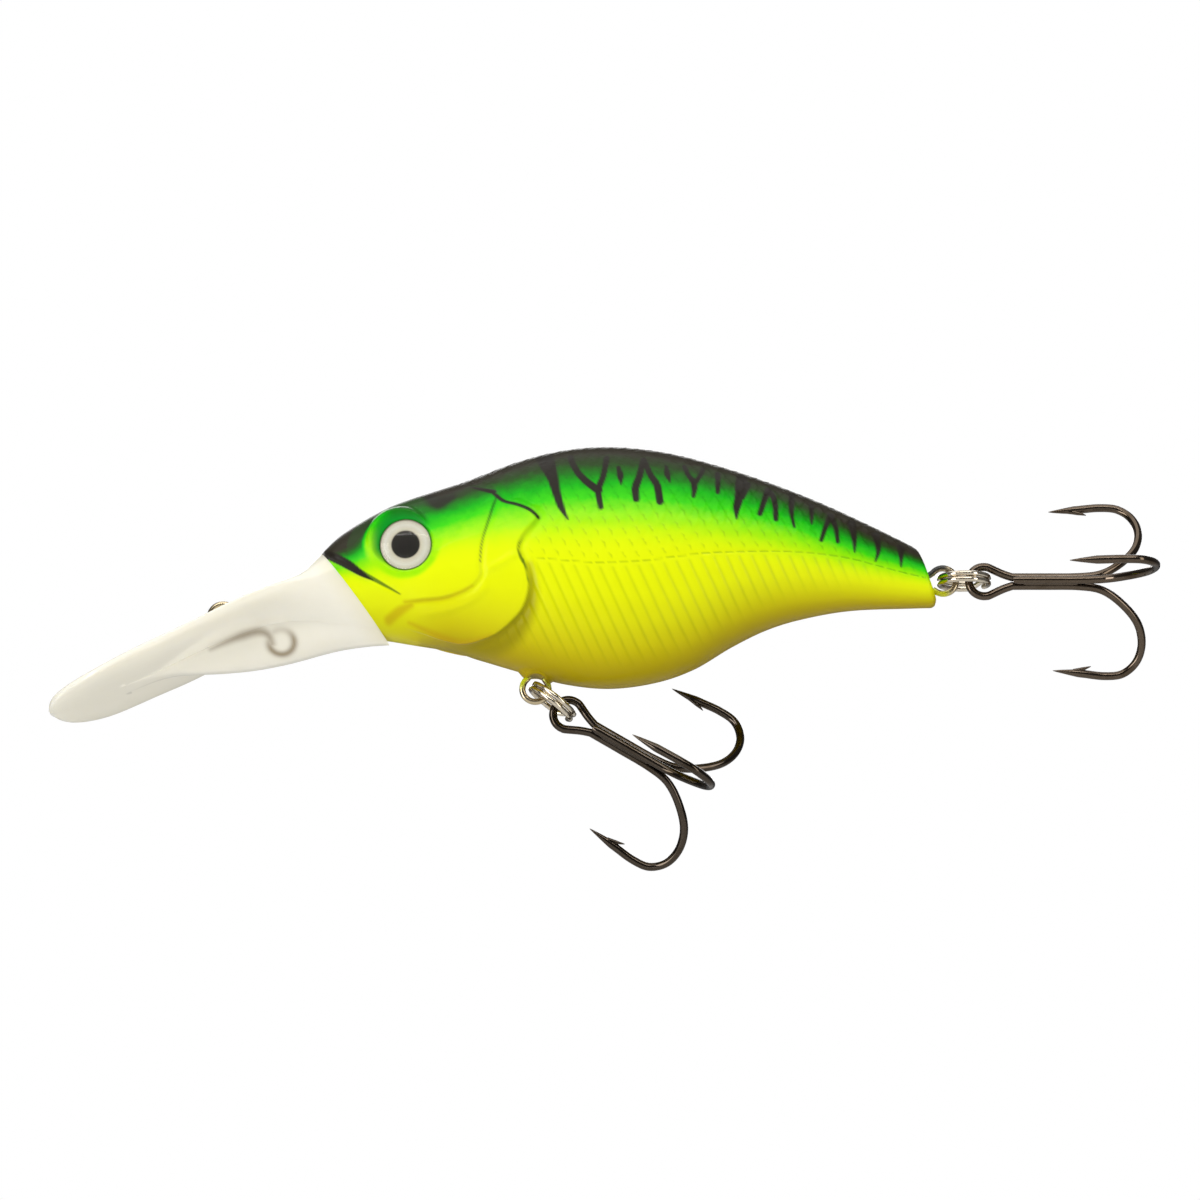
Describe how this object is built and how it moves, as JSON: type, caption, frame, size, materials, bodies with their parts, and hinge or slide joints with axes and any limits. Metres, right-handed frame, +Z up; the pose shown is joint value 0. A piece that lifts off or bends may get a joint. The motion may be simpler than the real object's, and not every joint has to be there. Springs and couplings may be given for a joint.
{
  "type": "crankbait lure",
  "caption": "Deep-bodied hard fishing lure with a diving lip, wire line tie, domed eyes, rattle balls, and treble hooks on split rings under the belly and at the tail.",
  "frame": {"origin": "middle of the hole of the line-tie eye, on the lure's middle plane", "axes": "+X from the lip to the tail, +Y to the lure's right side, +Z up through the back, in the swimming attitude"},
  "size_m": [0.1314, 0.0254, 0.0505],
  "materials": {
    "painted_body": "airbrushed dark back, green shoulder, fluorescent yellow flank and ochre belly under clear gloss",
    "milky_lip": "milky translucent moulded plastic, gloss",
    "hanger_wire": "bright drawn stainless wire",
    "eye_disc": "pearl foil with a round black pupil",
    "eye_lens": "clear resin dome",
    "ballast": "bare dull metal",
    "rattle_ball": "ground bearing steel",
    "split_ring": "bright nickel plate",
    "hook": "black nickel plate, polished"
  },
  "bodies": {
    "lure": {"shell_left": "painted_body", "shell_right": "painted_body", "diving_lip": "milky_lip", "line_tie_wire": "hanger_wire", "belly_hanger_wire": "hanger_wire", "tail_hanger_wire": "hanger_wire", "eye_disc_left": "eye_disc", "eye_disc_right": "eye_disc", "eye_lens_left": "eye_lens", "eye_lens_right": "eye_lens", "ballast_weight": "ballast"},
    "front_ball": {"rattle_ball_front": "rattle_ball"},
    "middle_ball": {"rattle_ball_middle": "rattle_ball"},
    "rear_ball": {"rattle_ball_rear": "rattle_ball"},
    "belly_ring": {"belly_split_ring": "split_ring"},
    "belly_hook": {"belly_treble_double": "hook", "belly_treble_single": "hook"},
    "tail_ring": {"tail_split_ring": "split_ring"},
    "tail_hook": {"tail_treble_double": "hook", "tail_treble_single": "hook"}
  },
  "joints": [
    {"name": "front_ball_slide", "type": "slide", "parent": "lure", "child": "front_ball", "axis": [0, 1, 0], "range_m": [-0.0035, 0.0035]},
    {"name": "middle_ball_slide", "type": "slide", "parent": "lure", "child": "middle_ball", "axis": [0, 1, 0], "range_m": [-0.0035, 0.0035]},
    {"name": "rear_ball_slide", "type": "slide", "parent": "lure", "child": "rear_ball", "axis": [0, 1, 0], "range_m": [-0.0035, 0.0035]},
    {"name": "belly_ring_swing", "type": "hinge", "parent": "lure", "child": "belly_ring", "pos_m": [0.0372, 0, -0.0085], "axis": [0, 1, 0], "range_deg": [0, 110]},
    {"name": "belly_hook_swing", "type": "hinge", "parent": "belly_ring", "child": "belly_hook", "pos_m": [0.03986, 0, -0.01091], "axis": [0.5045, 0, 0.8634], "range_deg": [-50, 50]},
    {"name": "tail_ring_swing", "type": "hinge", "parent": "lure", "child": "tail_ring", "pos_m": [0.086, 0, 0.00443], "axis": [0, 1, 0], "range_deg": [-70, 70]},
    {"name": "tail_hook_swing", "type": "hinge", "parent": "tail_ring", "child": "tail_hook", "pos_m": [0.08956, 0, 0.00443], "axis": [0, 0, 1], "range_deg": [-50, 50]}
  ]
}
